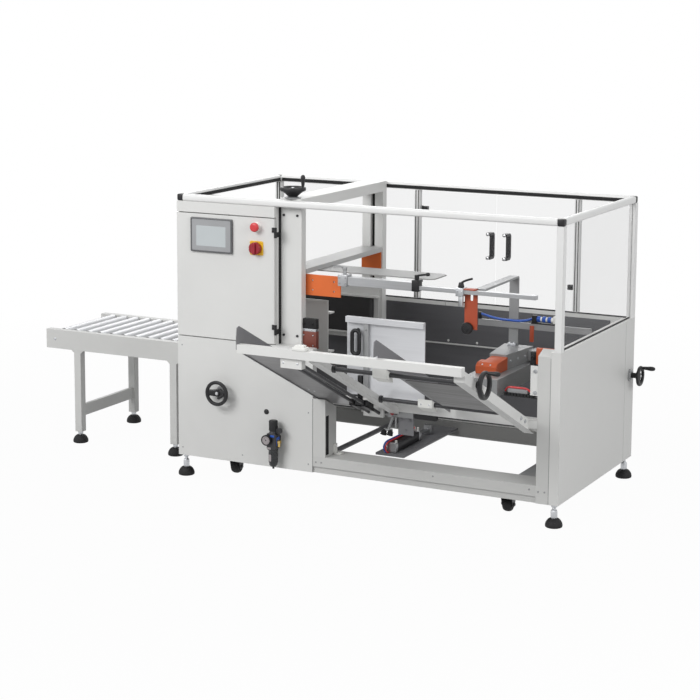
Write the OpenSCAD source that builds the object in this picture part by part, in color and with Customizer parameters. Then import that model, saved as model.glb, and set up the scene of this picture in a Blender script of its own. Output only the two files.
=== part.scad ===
// Case erector: guarded machine body with a tilted blank magazine at the front,
// a height-adjustable gantry, a control cabinet and a roller outfeed conveyor.
// Machine coordinates: X 0 is the left end face, Y 0 the front face, Z 0 the floor.
// The last shift puts the origin at the bottom centre of the whole outline.

/* [Body] */
// Length of the machine body from left end to right end
body_l = 2000; // [1900:10:2200]
// Depth of the machine body from front to rear
body_d = 1020; // [980:10:1120]
// Height of the underside of the panels above the floor
base_z = 105; // [95:1:125]
// Height of the sill where the guard begins
sill_z = 805; // [780:5:830]
// Height of the top of the guard
guard_z = 1405; // [1380:5:1500]
// Thickness of the folded side panels
panel_t = 40; // [30:1:46]
// Thickness of the right end panel
end_t = 48; // [40:1:56]
// Height of the base rails
rail_h = 81; // [70:1:90]
// Width of the lower front panel
front_w = 751; // [730:1:770]

/* [Guard] */
// Side of the guard profile
prof = 33; // [28:1:40]
// Thickness of the clear sheets
sheet_t = 5; // [4:0.5:8]
// Width of the two slim rear door posts
slim_w = 26; // [22:1:30]
// Clear width of the rear doorway
doorway_w = 844; // [760:2:900]
// Left side of the rear doorway
doorway_x = 843; // [800:1:900]

/* [Control cabinet] */
// Width of the cabinet
cab_w = 543; // [520:1:560]
// Depth of the cabinet
cab_d = 290; // [240:2:290]
// Height of the cabinet floor, level with the top of the front panel
cab_z = 705; // [690:1:720]
// Height of the header strip above the door
header_h = 52; // [40:1:70]
// Wall of the cabinet
cab_wall = 10; // [6:1:14]
// Thickness of the door
door_t = 16; // [12:1:18]
// Width of the touch screen
screen_w = 229; // [200:1:260]
// Height of the touch screen
screen_h = 165; // [140:1:180]

/* [Gantry] */
// Left side of the gantry posts
gantry_x = 543; // [543:1:560]
// Width of the gantry posts
gantry_w = 117; // [100:1:120]
// Depth of each gantry post
gantry_d = 43; // [38:1:48]
// Height of the underside of the gantry beam
beam_z = 1359; // [1350:1:1370]
// Height of the gantry beam
beam_h = 51; // [40:1:60]
// Underside of the crosshead in the stored position
cross_z = 1046; // [1030:1:1080]
// Thickness of the crosshead
cross_h = 24; // [20:1:36]
// Reach of the hold-down plate beside the crosshead
hold_l = 615; // [480:5:640]
// Thickness of the hold-down plate
hold_t = 5; // [4:0.5:8]

/* [Blank magazine] */
// Front of the magazine, ahead of the front face
mag_y = -750; // [-820:5:-700]
// Height of the blank plane at the front of the magazine
mag_z = 837; // [800:1:860]
// Drop of the blank plane for each unit of depth
mag_t = 0.485; // [0.46:0.005:0.5]
// Distance of the left side guide from the edge of the front panel
guide_off = 30; // [24:1:34]
// Stored distance from the left side guide to the right one
blank_w = 664; // [640:1:720]
// Height of the side guides above the blank plane
guide_h = 110; // [90:1:130]
// Distance of the right-hand rail from the right front post
rail_in = 91; // [80:1:110]
// Side of the right-hand rail
rail_s = 50; // [40:1:56]
// Diameter of the two cross rods
rod_d = 20; // [16:1:24]
// Diameter of the two follower rods
fol_rod_d = 16; // [12:1:18]
// Width of the follower plate
fol_w = 398; // [360:2:430]
// Height of the top of the follower plate
fol_top = 897; // [820:1:920]
// Stored position of the follower plate
fol_y = -60; // [-120:1:-40]

/* [Handwheels] */
// Diameter of the three larger handwheels
wheel_d = 125; // [110:1:130]
// Diameter of the handwheel on the right end
end_wheel_d = 100; // [90:1:110]

/* [Conveyor] */
// Length of the outfeed conveyor
conv_l = 1007; // [960:1:1100]
// Front face of the conveyor
conv_y = 300; // [300:1:310]
// Distance of the conveyor from the inside of the rear panel
conv_clear = 130; // [120:1:150]
// Top of the side channels
conv_z = 597; // [580:1:620]
// Height of the side channels
chan_h = 100; // [80:1:110]
// Width of the side channels
chan_w = 40; // [34:1:44]
// Diameter of the rollers
roll_d = 50; // [44:1:52]
// Distance from roller to roller
roll_pitch = 75; // [66:1:76]
// Height of the roller tops above the side channels
roll_up = 3; // [0:0.5:8]

/* [Feet] */
// Diameter of the levelling feet
foot_d = 80; // [70:1:90]
// Diameter of the caster wheels
caster_d = 70; // [60:1:72]

/* [Hidden] */
$fn = 48;

// Reach of the farthest pieces, for the origin
knob_reach = 130;
handle_reach = 45;
guide_over = 15;
x_min = -conv_l;
x_max = body_l + knob_reach;
y_min = mag_y - guide_over;
y_max = body_d + handle_reach;
shift = [-(x_min + x_max) / 2, -(y_min + y_max) / 2, 0];

// Levels
rail_top = base_z + rail_h;
ring_z = guard_z - prof;
top_of_door = ring_z - header_h;
right_x = body_l - end_t;
rear_y = body_d - panel_t;
rear_face = body_d - prof;
cheek = 120;
post_w = 61;
post_x = right_x - post_w;

// Magazine layout across the machine
guide_l = front_w + guide_off;
guide_r = guide_l + blank_w;
rail_x = post_x - rail_in;
mid_x = guide_l + 339;
mid_w = 50;
tray_l = guide_l + 194;
tray_r = rail_x - 300;
fol_x = guide_l + 184;
fol_xs = [guide_l + 237, guide_l + 291];
fol_h = -24;

// Magazine plane and its slope angle
mag_a = atan(mag_t);
function zp(y) = mag_z - mag_t * (y - mag_y);
bar_back = mag_y + 20;
bar_front = mag_y - guide_over;
low_y = 75;
low_d = 39;
rod_ys = [mag_y + 150, mag_y + 620];
seam = 0.3;

// Gantry
gantry_y = 55;
gantry_r = rear_y;
slot_w = 25;
slot_x = gantry_x + (gantry_w - slot_w) / 2;
beam_top = beam_z + beam_h;

// Doors
door_gap = 4;
hinge_x = cab_w + 8;
hinge_y = -4;
leaf_gap = 3;
rear_hinge_y = body_d + 7;
doorway_r = doorway_x + doorway_w;
split_x = doorway_x + doorway_w / 2;
leaf_zs = [sill_z + 110, ring_z - 110];

// Conveyor
conv_r = rear_y - conv_clear;
roll_r = roll_d / 2;
roll_z = conv_z + roll_up - roll_r;
roll_x0 = -conv_l / 2 - 9 - 5.5 * roll_pitch;
leg_s = 40;
leg_xs = [-conv_l + 175, -240];
foot_gap = 60;

module place() { translate(shift) children(); }

// Box given by its two corners
module bx(x0, x1, y0, y1, z0, z1) {
    translate([x0, y0, z0]) cube([x1 - x0, y1 - y0, z1 - z0]);
}

// Prism across X whose outline is drawn in depth and height
module across(x0, x1, pts) {
    translate([x0, 0, 0]) rotate([90, 0, 90]) linear_extrude(x1 - x0) polygon(pts);
}

// Bar that follows the blank plane between two depths, offset upward by h0 to h1
module slope_bar(x0, x1, y0, y1, h0, h1) {
    across(x0, x1, [[y0, zp(y0) + h0], [y1, zp(y1) + h0], [y1, zp(y1) + h1], [y0, zp(y0) + h1]]);
}

// Round rod along the blank plane, offset upward by h
module slope_rod(x, y0, y1, h, d) {
    len = (y1 - y0) / cos(mag_a);
    intersection() {
        translate([x, y0, zp(y0) + h]) rotate([-(90 + mag_a), 0, 0]) translate([0, 0, -30]) cylinder(d = d, h = len + 60);
        bx(x - d, x + d, y0, y1, 0, 2 * mag_z);
    }
}

module rod_x(x0, x1, y, z, d) {
    translate([x0, y, z]) rotate([0, 90, 0]) cylinder(d = d, h = x1 - x0);
}

module rod_y(x, y0, y1, z, d) {
    translate([x, y0, z]) rotate([-90, 0, 0]) cylinder(d = d, h = y1 - y0);
}

// Dished two-spoke handwheel standing on its hub along +Z, with a crank knob where knob is above 0
module handwheel(d, reach, knob) {
    rim_w = 17;
    rim_h = 15;
    dish = 30;
    r = d / 2 - rim_w / 2;
    translate([0, 0, 0.5]) cylinder(d = 26, h = reach - 4);
    translate([0, 0, reach - rim_h]) rotate_extrude() translate([r, 0])
        polygon([[-rim_w / 2, 4], [-rim_w / 2 + 4, 0], [rim_w / 2 - 4, 0], [rim_w / 2, 4],
            [rim_w / 2, rim_h - 5], [rim_w / 2 - 5, rim_h], [-rim_w / 2 + 5, rim_h], [-rim_w / 2, rim_h - 5]]);
    translate([0, 11, 0]) rotate([90, 0, 0]) linear_extrude(22)
        polygon([[-13, reach - dish], [13, reach - dish], [r, reach - rim_h + 3], [r, reach - 5], [-r, reach - 5], [-r, reach - rim_h + 3]]);
    if (knob > 0) translate([r, 0, reach - 8]) {
        cylinder(d = 10, h = 20);
        translate([0, 0, 14]) cylinder(d1 = 15, d2 = 22, h = knob * 0.65, $fn = 24);
        translate([0, 0, 14 + knob * 0.65]) cylinder(d1 = 22, d2 = 13, h = knob * 0.35, $fn = 24);
    }
}

// Levelling foot from the floor up to a given height
module foot(h) {
    cylinder(d = foot_d, h = 10);
    translate([0, 0, 10]) cylinder(d1 = foot_d, d2 = 30, h = 14);
    cylinder(d = 16, h = h);
}

// Swivel caster with a barrel wheel, held just clear of the floor
module caster() {
    w = 44;
    z = 5 + caster_d / 2;
    translate([-50, -75, base_z - 6]) cube([100, 150, 6]);
    for (t = [-1, 1]) translate([t * (w / 2 + 4) - 2, -18, z - 12]) cube([4, 36, base_z - z + 9]);
    rod_x(-w / 4, w / 4, 0, z, caster_d);
    for (t = [0, 180]) translate([0, 0, z]) rotate([0, 90, t])
        translate([0, 0, w / 4]) cylinder(d1 = caster_d, d2 = caster_d - 16, h = w / 4);
    rod_x(-w / 2 - 7, w / 2 + 7, 0, z, 16);
}

slab_x = guide_l + 159;

module base_rails() place() color("gainsboro") {
    union() {
        bx(front_w, post_x, 0, cheek + 30, base_z + 31, rail_top);
        bx(front_w, post_x, 8, cheek + 30, base_z, base_z + 31);
        bx(panel_t, front_w, panel_t, cheek, base_z, rail_top);
        bx(panel_t, right_x, rear_y - 30, rear_y, base_z + 14, rail_top);
        for (x = [245, body_l - 300]) bx(x - 60, x + 60, body_d - 230, rear_y, base_z, base_z + 14);
        bx(panel_t, panel_t + 60, cheek, rear_y - 30, base_z, rail_top);
        bx(right_x - 60, right_x, 60, rear_y - 30, base_z, rail_top);
        bx(front_w + 25, front_w + 53, cheek, rear_y - 30, rail_top - 13, rail_top - 1);
        bx(slab_x, slab_x + 152, 300, rear_y - 30, base_z + 43, base_z + 54);
    }
}

module frame_posts() place() color("gainsboro") {
    across(post_x, right_x, [[0, base_z], [60, base_z], [60, sill_z + 2], [0, sill_z - 22]]);
    difference() {
        across(front_w, front_w + 68, [[0, rail_top], [114, rail_top], [114, zp(114) - 5], [0, zp(0) - 5]]);
        bx(front_w + 48, front_w + 69, 6, 38, rail_top + 8, rail_top + 200);
    }
}

module front_panel() place() color("lightgray") bx(0, front_w, 0, panel_t, base_z, cab_z);

module left_end_panel() place() color("lightgray") {
    bx(0, panel_t, panel_t, conv_y, base_z, cab_z);
    bx(0, panel_t, conv_y, conv_r, base_z, conv_z);
    bx(0, panel_t, conv_r, rear_y, base_z, sill_z);
}

module right_end_panel() place() color("lightgray") {
    bx(right_x, body_l, 0, body_d - 130, base_z, sill_z);
    bx(right_x, body_l, body_d - 127, body_d, base_z, sill_z);
}

module rear_panel() place() color("lightgray") {
    bx(0, body_l / 2 - 1.5, rear_y, body_d, base_z, sill_z);
    bx(body_l / 2 + 1.5, right_x, rear_y, body_d, base_z, sill_z);
}

module control_cabinet() place() color("gainsboro") {
    difference() {
        bx(0, cab_w, 0, cab_d, cab_z, ring_z);
        bx(-1, cab_w + 1, -1, 20, cab_z - 1, top_of_door);
        bx(cab_wall, cab_w - cab_wall, 10, cab_d - cab_wall, cab_z + cab_wall, top_of_door - 5);
    }
}

module control_door() place() color("gainsboro") bx(0, cab_w - 2, 0, door_t, cab_z + 5, top_of_door - 5);

door_hinge_zs = [cab_z + 75, top_of_door - 71];

module door_hinges() place() color("black") {
    for (z = door_hinge_zs) {
        translate([hinge_x, hinge_y, z + 0.3]) cylinder(d = 14, h = 24);
        bx(hinge_x - 20, hinge_x, hinge_y, 0, z + 0.3, z + 24.3);
    }
}

module hinge_knuckles() place() color("black") {
    for (z = door_hinge_zs) {
        translate([hinge_x, hinge_y, z - 24.3]) cylinder(d = 14, h = 24);
        bx(cab_w, cab_w + 5, hinge_y, 45, z - 24.3, z - 0.3);
    }
    for (z = leaf_zs) {
        translate([doorway_x, rear_hinge_y, z - 25]) cylinder(d = 12, h = 24.7);
        bx(doorway_x - 20, doorway_x, body_d, rear_hinge_y, z - 25, z - 0.3);
        translate([doorway_r, rear_hinge_y, z - 25]) cylinder(d = 12, h = 24.7);
        bx(doorway_r, doorway_r + 20, body_d, rear_hinge_y, z - 25, z - 0.3);
    }
}

screen_x = 85;
screen_z = top_of_door - 188;

module touch_screen() place() color("dimgray") {
    difference() {
        bx(screen_x, screen_x + screen_w, -12, 0, screen_z, screen_z + screen_h);
        bx(screen_x + 0.13 * screen_w, screen_x + 0.86 * screen_w, -13, -10.5,
            screen_z + 0.17 * screen_h, screen_z + 0.77 * screen_h);
    }
}

stop_x = cab_w - 95;
stop_z = top_of_door - 48;
switch_z = top_of_door - 151;
stem_d = 20;

module stop_button() place() color("crimson") {
    rod_y(stop_x, -17, -9.5, stop_z, stem_d);
    translate([stop_x, -16, stop_z]) rotate([90, 0, 0]) cylinder(d1 = 42, d2 = 45, h = 12);
    translate([stop_x, -28, stop_z]) rotate([90, 0, 0]) cylinder(d1 = 45, d2 = 30, h = 8);
}

module switch_plates() place() color("gold") {
    bx(stop_x - 37, stop_x + 35, -5, 0, switch_z - 34, switch_z + 34);
    difference() {
        rod_y(stop_x, -10, 0, stop_z, 32);
        rod_y(stop_x, -11, -5, stop_z, stem_d + 0.6);
    }
}

module main_switch_knob() place() color("crimson") {
    translate([stop_x - 1, -5.5, switch_z]) rotate([90, 0, 0]) cylinder(d = 60, h = 12);
    bx(stop_x - 11, stop_x + 9, -40, -17, switch_z - 29, switch_z + 29);
}

module gantry_post() {
    difference() {
        bx(gantry_x, gantry_x + gantry_w, 0, gantry_d, rail_top, beam_z);
        bx(slot_x, slot_x + slot_w, 6, gantry_d + 1, rail_top + 300, beam_z - 14);
    }
}

module gantry_posts() place() color("gainsboro") {
    translate([0, gantry_y, 0]) gantry_post();
    translate([0, gantry_r, 0]) mirror([0, 1, 0]) gantry_post();
}

module gantry_beam() place() color("whitesmoke") bx(gantry_x, gantry_x + gantry_w, gantry_y, gantry_r, beam_z, beam_top);

module crosshead() place() color("lightgray") {
    bx(gantry_x, gantry_x + gantry_w, gantry_y + gantry_d + 6, gantry_r - gantry_d - 6, cross_z, cross_z + cross_h);
    bx(slot_x + 3, slot_x + slot_w - 3, gantry_y + 20, gantry_r - 20, cross_z, cross_z + cross_h);
    translate([gantry_x + gantry_w, gantry_y, cross_z]) linear_extrude(hold_t)
        polygon([[0, 160], [hold_l - 25, 160], [hold_l, 185], [hold_l, 315], [hold_l - 25, 340], [0, 340]]);
}

module crosshead_brackets() place() color("darkorange") {
    difference() {
        bx(gantry_x + 57, bar_x - 49, gantry_y + gantry_d + 6, gantry_y + gantry_d + 12, cross_z - 101, cross_z);
        for (x = [gantry_x + gantry_w + 33, bar_x - 85], dz = [28, 75])
            rod_y(x, gantry_y + gantry_d, gantry_y + gantry_d + 20, cross_z - dz, 9);
    }
    bx(gantry_x + 3, gantry_x + gantry_w - 3, gantry_r - gantry_d - 14, gantry_r - gantry_d - 8, cross_z - 98, cross_z);
}

module lift_handwheel() place() color("black")
    translate([gantry_x + gantry_w / 2, gantry_y + gantry_d / 2, beam_top]) handwheel(wheel_d, 54, 54);

module guard_top_rails() place() color("white") {
    bx(prof, body_l - prof, 0, prof, ring_z, guard_z);
    bx(prof, body_l - prof, rear_face, body_d, ring_z, guard_z);
    bx(0, prof, prof, rear_face, ring_z, guard_z);
    bx(body_l - prof, body_l, prof, rear_face, ring_z, guard_z);
}

module guard_posts() place() color("white") {
    bx(body_l - prof, body_l, 0, prof, sill_z, ring_z);
    bx(body_l - prof, body_l, rear_face, body_d, sill_z, ring_z);
    bx(0, prof, rear_face, body_d, sill_z, ring_z);
    bx(doorway_x - slim_w, doorway_x, rear_face, body_d, sill_z, ring_z);
    bx(doorway_r, doorway_r + slim_w, rear_face, body_d, sill_z, ring_z);
}

module guard_corner_caps() place() color("black")
    for (x = [0, body_l - prof], y = [0, rear_face]) bx(x, x + prof, y, y + prof, ring_z, guard_z);

sheet_y = rear_face + 14;

module guard_panels() place() color([0.85, 0.88, 0.9, 0.4]) {
    bx(prof, doorway_x - slim_w, sheet_y, sheet_y + sheet_t, sill_z, ring_z);
    bx(doorway_r + slim_w, body_l - prof, sheet_y, sheet_y + sheet_t, sill_z, ring_z);
    bx(body_l - 19, body_l - 19 + sheet_t, prof, rear_face, sill_z, ring_z);
}

module rear_door_left() place() color([0.85, 0.88, 0.9, 0.4])
    bx(doorway_x + leaf_gap, split_x - 2, sheet_y, sheet_y + sheet_t, sill_z + 5, ring_z - 5);

module rear_door_right() place() color([0.85, 0.88, 0.9, 0.4])
    bx(split_x + 2, doorway_r - leaf_gap, sheet_y, sheet_y + sheet_t, sill_z + 5, ring_z - 5);

// Bridge handle that stands on a face and reaches out along +Y
module bridge(x, w, reach, tall) {
    t = 13;
    c = 12;
    across(x, x + w, [[0, 0], [reach - c, 0], [reach, c], [reach, tall - c], [reach - c, tall], [0, tall],
        [0, tall - t], [reach - t - 4, tall - t], [reach - t, tall - t - 4], [reach - t, t + 4], [reach - t - 4, t], [0, t]]);
}

// Hinge leaves and bridge handle of the left rear door, measured from its hinge line
module door_fittings() {
    out = sheet_y + sheet_t;
    for (z = leaf_zs) {
        translate([0, rear_hinge_y, z + 0.3]) cylinder(d = 12, h = 24.7);
        bx(0, 37, rear_hinge_y - 3, rear_hinge_y, z + 0.3, z + 25);
        bx(12, 37, out, rear_hinge_y, z + 0.3, z + 25);
    }
    hx = doorway_w / 2 - 45;
    translate([0, out, sill_z + 231]) bridge(hx - 12, 24, body_d + handle_reach - out, 135);
}

module rear_door_left_fittings() place() color("black") translate([doorway_x, 0, 0]) door_fittings();

module rear_door_right_fittings() place() color("black") translate([doorway_r, 0, 0]) mirror([1, 0, 0]) door_fittings();

// Front bar, sloped rails, lower beam, rod blocks and post plate, butted with a fine seam
module magazine_bars() place() color("lightgray") {
    bx(guide_l, rail_x + rail_s, bar_front, bar_back, mag_z - 11, mag_z + 27);
    slope_bar(rail_x, rail_x + rail_s, bar_back + seam, low_y - seam, -32, 18);
    slope_bar(mid_x, mid_x + mid_w, bar_back + seam, low_y - seam, -15, 15);
    bx(front_w + 68, right_x, low_y, low_y + low_d, zp(low_y) - 4, zp(low_y) + 36);
    slope_bar(rail_x + rail_s + seam, post_x, 0, 55, -24, 10);
    bx(fol_xs[0] - 27, fol_xs[1] + 23, bar_back - 20, bar_back + 15, mag_z - 57, mag_z - 11 - seam);
    bx(fol_xs[0] - 27, fol_xs[1] + 23, low_y - 15, low_y - seam, zp(low_y) - 38, zp(low_y) + 8);
    bx(post_x - 36, post_x, 2, 10, sill_z - 205, sill_z - 70);
}

// Left floor sheet with its side guide, and the right floor sheet
module magazine_trays() place() color("silver") {
    slope_bar(guide_l, tray_l, bar_back, low_y, 0, 3);
    across(guide_l - 4, guide_l, [[y_min, mag_z + 5], [y_min, mag_z + 60], [y_min + 5, zp(y_min + 5) + guide_h - 14],
        [y_min + 24, zp(y_min + 24) + guide_h], [low_y, zp(low_y) + guide_h], [low_y, zp(low_y) - 5],
        [bar_front + 12, zp(bar_front + 12) - 5]]);
    slope_bar(tray_r, rail_x, rod_ys[0] + 40, rod_ys[1] - 35, -6, -3);
}

module magazine_rods() place() color("black") {
    for (y = rod_ys) rod_x(mid_x + mid_w, rail_x, y, zp(y), rod_d);
    for (x = fol_xs) slope_rod(x, bar_back + 15, low_y - 15, fol_h, fol_rod_d);
}

module right_guide() place() color("silver") {
    across(guide_r, guide_r + 4, [[y_min, mag_z + 35], [y_min, mag_z + 70], [y_min + 5, zp(y_min + 5) + guide_h - 14],
        [y_min + 24, zp(y_min + 24) + guide_h], [40, zp(40) + guide_h], [40, zp(40) + 14],
        [bar_back + 8, zp(bar_back + 8) + 14], [bar_back + 8, mag_z + 35]]);
    slope_bar(guide_r + 4, guide_r + 34, rod_ys[0] + 40, rod_ys[1] - 40, 14, 17);
}

module right_guide_blocks() place() color("white") {
    for (y = rod_ys) difference() {
        slope_bar(guide_r - 70, guide_r, y - 30, y + 30, -25, 14);
        rod_x(guide_r - 80, guide_r + 10, y, zp(y), rod_d + 0.6);
    }
}

module follower_plate() place() color("whitesmoke") {
    bx(fol_x, fol_x + fol_w, fol_y - 2, fol_y + 2, zp(fol_y) + 25, fol_top);
    bx(fol_x, fol_x + fol_w, fol_y - 22, fol_y - 2, fol_top - 27, fol_top);
    bx(fol_x + 92, fol_x + 116, fol_y - 16, fol_y - 2, zp(fol_y) + 25, fol_top - 27);
}

// Carriage on the two follower rods, its web and the pull handle
module follower_handle() place() color("black") {
    difference() {
        slope_bar(fol_xs[0] - 20, fol_xs[1] + 20, fol_y - 45, fol_y + 25, fol_h - 16, fol_h + 16);
        for (x = fol_xs) slope_rod(x, fol_y - 80, fol_y + 60, fol_h, fol_rod_d + 1);
    }
    bx(fol_xs[0] + 10, fol_xs[1] - 22, fol_y - 18, fol_y - 2, zp(fol_y) + fol_h + 2, zp(fol_y) + 120);
    translate([0, fol_y - 2, fol_top - 180]) mirror([0, 1, 0]) bridge(fol_x + 28, 30, 50, 130);
}

module magazine_handwheel() place() color("black")
    translate([rail_x + rail_s, rod_ys[0], zp(rod_ys[0])]) rotate([0, -90, 180]) handwheel(wheel_d, 46, 54);

front_wheel_x = 250;
front_wheel_z = 448;

module front_handwheel() place() color("black")
    translate([front_wheel_x, 0, front_wheel_z]) rotate([90, 0, 0]) handwheel(wheel_d, 58, 0);

module end_handwheel() place() color("black")
    translate([body_l, body_d - 60, 527]) rotate([0, -90, 180]) handwheel(end_wheel_d, 62, 62);

module air_regulator() place() color("dimgray") {
    x = 560;
    bx(x - 25, x + 25, -66, 0, 205, 288);
    translate([x, -42, 286]) cylinder(d = 38, h = 10);
    translate([x, -42, 296]) cylinder(d = 44, h = 53);
    translate([x, -42, 124]) cylinder(d = 44, h = 83);
    translate([x, -42, 110]) cylinder(d1 = 12, d2 = 30, h = 15);
    rod_y(x - 20, -84, -60, 255, 50);
    rod_x(x + 20, x + 40, -42, 245, 18);
}

module levelling_feet() place() color("dimgray") {
    for (x = [28, body_l - 28], y = [26, body_d - 26]) translate([x, y, 0]) foot(base_z);
    for (x = leg_xs, y = [conv_y, conv_r - leg_s]) translate([x + leg_s / 2, y + leg_s / 2, 0]) foot(foot_gap);
}

module casters() place() color("black")
    for (x = [245, body_l - 300], y = [150, body_d - 150]) translate([x, y, 0]) caster();

module conveyor_channels() place() color("lightgray") {
    bx(-conv_l, 0, conv_y, conv_y + chan_w, conv_z - chan_h, conv_z);
    bx(-conv_l, 0, conv_r - chan_w, conv_r, conv_z - chan_h, conv_z);
    for (x = [-conv_l + 16, -46]) bx(x, x + 30, conv_y + chan_w, conv_r - chan_w, conv_z - chan_h + 12, roll_z - roll_r - 6);
}

module conveyor_legs() place() color("darkgray") {
    for (x = leg_xs) {
        for (y = [conv_y, conv_r - leg_s]) bx(x, x + leg_s, y, y + leg_s, foot_gap, conv_z - chan_h);
        bx(x + 10, x + 30, conv_y + leg_s, conv_r - leg_s, 140, 200);
    }
}

// Carrier roller number i with its shaft stubs
module roller(i) {
    x = roll_x0 + (i - 1) * roll_pitch;
    rod_y(x, conv_y + chan_w + 5, conv_r - chan_w - 5, roll_z, roll_d);
    rod_y(x, conv_y + chan_w + 0.5, conv_r - chan_w - 0.5, roll_z, 12);
}

bar_z = 1018;
bar_x = guide_l + 112;
stand_x = guide_r + 88;
stand_w = 47;
stand_y = rear_y - 450;
plat_y = stand_y - 240;
plat_z = sill_z - 95;

module top_guide_bar() place() color("silver") {
    bx(bar_x, rail_x + 40, 85, 115, bar_z, bar_z + 19);
    bx(bar_x, bar_x + 357, 79, 121, bar_z - 6, bar_z + 34);
}

// Bent flat bar that carries the guide bar, its cross rail and the beam it stands on
module guide_stand() place() color("gray") {
    across(stand_x, stand_x + stand_w, [[120, bar_z + 15], [stand_y, bar_z + 19], [stand_y, plat_z],
        [stand_y + 9, plat_z], [stand_y + 9, bar_z + 20], [stand_y + 1, bar_z + 29], [120, bar_z + 25]]);
    bx(stand_x - 153, right_x, stand_y - 14, stand_y, sill_z - 10, sill_z + 20);
    difference() {
        translate([0, 0, plat_z - 71]) linear_extrude(71) polygon([[stand_x + 3, plat_y], [stand_x + 88, plat_y],
            [stand_x + 119, stand_y + 20], [stand_x - 29, stand_y + 20]]);
        translate([0, 0, plat_z - 70]) linear_extrude(64) polygon([[stand_x + 9, plat_y + 6], [stand_x + 82, plat_y + 6],
            [stand_x + 113, stand_y + 21], [stand_x - 23, stand_y + 21]]);
    }
    difference() {
        bx(stand_x - 30, stand_x + 140, plat_y - 235, stand_y + 20, plat_z - 150, plat_z - 70);
        bx(stand_x - 24, stand_x + 134, plat_y - 229, stand_y + 21, plat_z - 151, plat_z - 76);
    }
    bx(stand_x + 113, right_x, stand_y - 40, stand_y + 15, plat_z - 60, plat_z - 10);
}

module blank_stop() place() color("darkorange") {
    bx(guide_r + 35, guide_r + 99, 115, 120, bar_z - 168, bar_z + 25);
    bx(guide_r + 35, guide_r + 99, 82, 120, bar_z + 19, bar_z + 25);
    across(stand_x - 10, stand_x + 95, [[plat_y - 140, plat_z - 70], [plat_y, plat_z - 70], [plat_y, plat_z - 10],
        [plat_y - 122, plat_z - 18], [plat_y - 140, plat_z - 34]]);
    bx(stand_x + 115, stand_x + 135, stand_y - 20, stand_y - 14, sill_z - 68, sill_z + 10);
    bx(post_x - 66, right_x, 140, 158, sill_z - 93, sill_z - 15);
}

// Closed belt loop around two upright pulleys
module belt(y) {
    hull() for (x = [160, gantry_x + 97]) translate([x, y, conv_z + 41]) cylinder(d = 40, h = 184, $fn = 32);
}

module side_belts() place() color("black") {
    belt(cab_d + 26);
    belt(conv_r - 16);
}

module belt_frame() {
    bx(100, gantry_x + 137, 0, 6, conv_z + 3, conv_z + 293);
    bx(110, gantry_x + 147, 6, 50, conv_z + 225, conv_z + 233);
    bx(110, gantry_x + 147, 6, 50, conv_z + 33, conv_z + 41);
}

module belt_frames() place() color("gainsboro") {
    translate([0, cab_d, 0]) belt_frame();
    translate([0, conv_r + 10, 0]) mirror([0, 1, 0]) belt_frame();
    for (x = [150, gantry_x - 63]) bx(x, x + 40, conv_r + 10, rear_y, conv_z + 103, conv_z + 143);
}

module lower_cylinder() place() color("silver") {
    x = slab_x + 75;
    rod_y(x, 320, 620, base_z + 81, 50);
    for (y = [330, 590]) bx(x - 25, x + 25, y, y + 20, base_z + 54, base_z + 84);
    rod_y(x, 620, 760, base_z + 81, 18);
    bx(x - 20, x + 20, 740, 770, base_z + 54, base_z + 104);
}

module roller_01() place() color("silver") roller(1);
module roller_02() place() color("silver") roller(2);
module roller_03() place() color("silver") roller(3);
module roller_04() place() color("silver") roller(4);
module roller_05() place() color("silver") roller(5);
module roller_06() place() color("silver") roller(6);
module roller_07() place() color("silver") roller(7);
module roller_08() place() color("silver") roller(8);
module roller_09() place() color("silver") roller(9);
module roller_10() place() color("silver") roller(10);
module roller_11() place() color("silver") roller(11);
module roller_12() place() color("silver") roller(12);

base_rails();
frame_posts();
front_panel();
left_end_panel();
right_end_panel();
rear_panel();
control_cabinet();
control_door();
door_hinges();
hinge_knuckles();
touch_screen();
stop_button();
switch_plates();
main_switch_knob();
gantry_posts();
gantry_beam();
crosshead();
crosshead_brackets();
lift_handwheel();
guard_top_rails();
guard_posts();
guard_corner_caps();
guard_panels();
rear_door_left();
rear_door_left_fittings();
rear_door_right();
rear_door_right_fittings();
magazine_bars();
magazine_trays();
magazine_rods();
right_guide();
right_guide_blocks();
follower_plate();
follower_handle();
magazine_handwheel();
front_handwheel();
end_handwheel();
air_regulator();
levelling_feet();
casters();
conveyor_channels();
conveyor_legs();
top_guide_bar();
guide_stand();
blank_stop();
side_belts();
belt_frames();
lower_cylinder();
roller_01();
roller_02();
roller_03();
roller_04();
roller_05();
roller_06();
roller_07();
roller_08();
roller_09();
roller_10();
roller_11();
roller_12();
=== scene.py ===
import bpy
import bmesh
import math
from mathutils import Matrix, Vector


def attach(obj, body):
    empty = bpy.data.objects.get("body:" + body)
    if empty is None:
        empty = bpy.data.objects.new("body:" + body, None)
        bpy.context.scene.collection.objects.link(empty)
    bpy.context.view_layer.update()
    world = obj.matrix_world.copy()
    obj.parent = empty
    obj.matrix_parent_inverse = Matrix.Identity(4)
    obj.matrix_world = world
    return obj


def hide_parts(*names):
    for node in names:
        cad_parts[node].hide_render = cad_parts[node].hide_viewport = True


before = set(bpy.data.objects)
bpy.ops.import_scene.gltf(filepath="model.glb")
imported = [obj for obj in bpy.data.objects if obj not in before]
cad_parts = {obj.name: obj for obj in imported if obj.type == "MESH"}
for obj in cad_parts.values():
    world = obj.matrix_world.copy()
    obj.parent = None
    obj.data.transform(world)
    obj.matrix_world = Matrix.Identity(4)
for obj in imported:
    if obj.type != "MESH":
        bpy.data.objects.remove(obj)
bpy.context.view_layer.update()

# Sizes below are in machine millimetres: X 0 is the left end face, Y 0 the front face, Z 0 the floor.
SHIFT = Vector((-561.5, -150.0, 0.0))
# The blank plane of the magazine: a depth, the height there and the fall per depth
MAG_Y, MAG_Z, MAG_T = -750.0, 837.0, 0.485


def row(p):
    return (Vector(p) + SHIFT) / 1000.0


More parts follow.
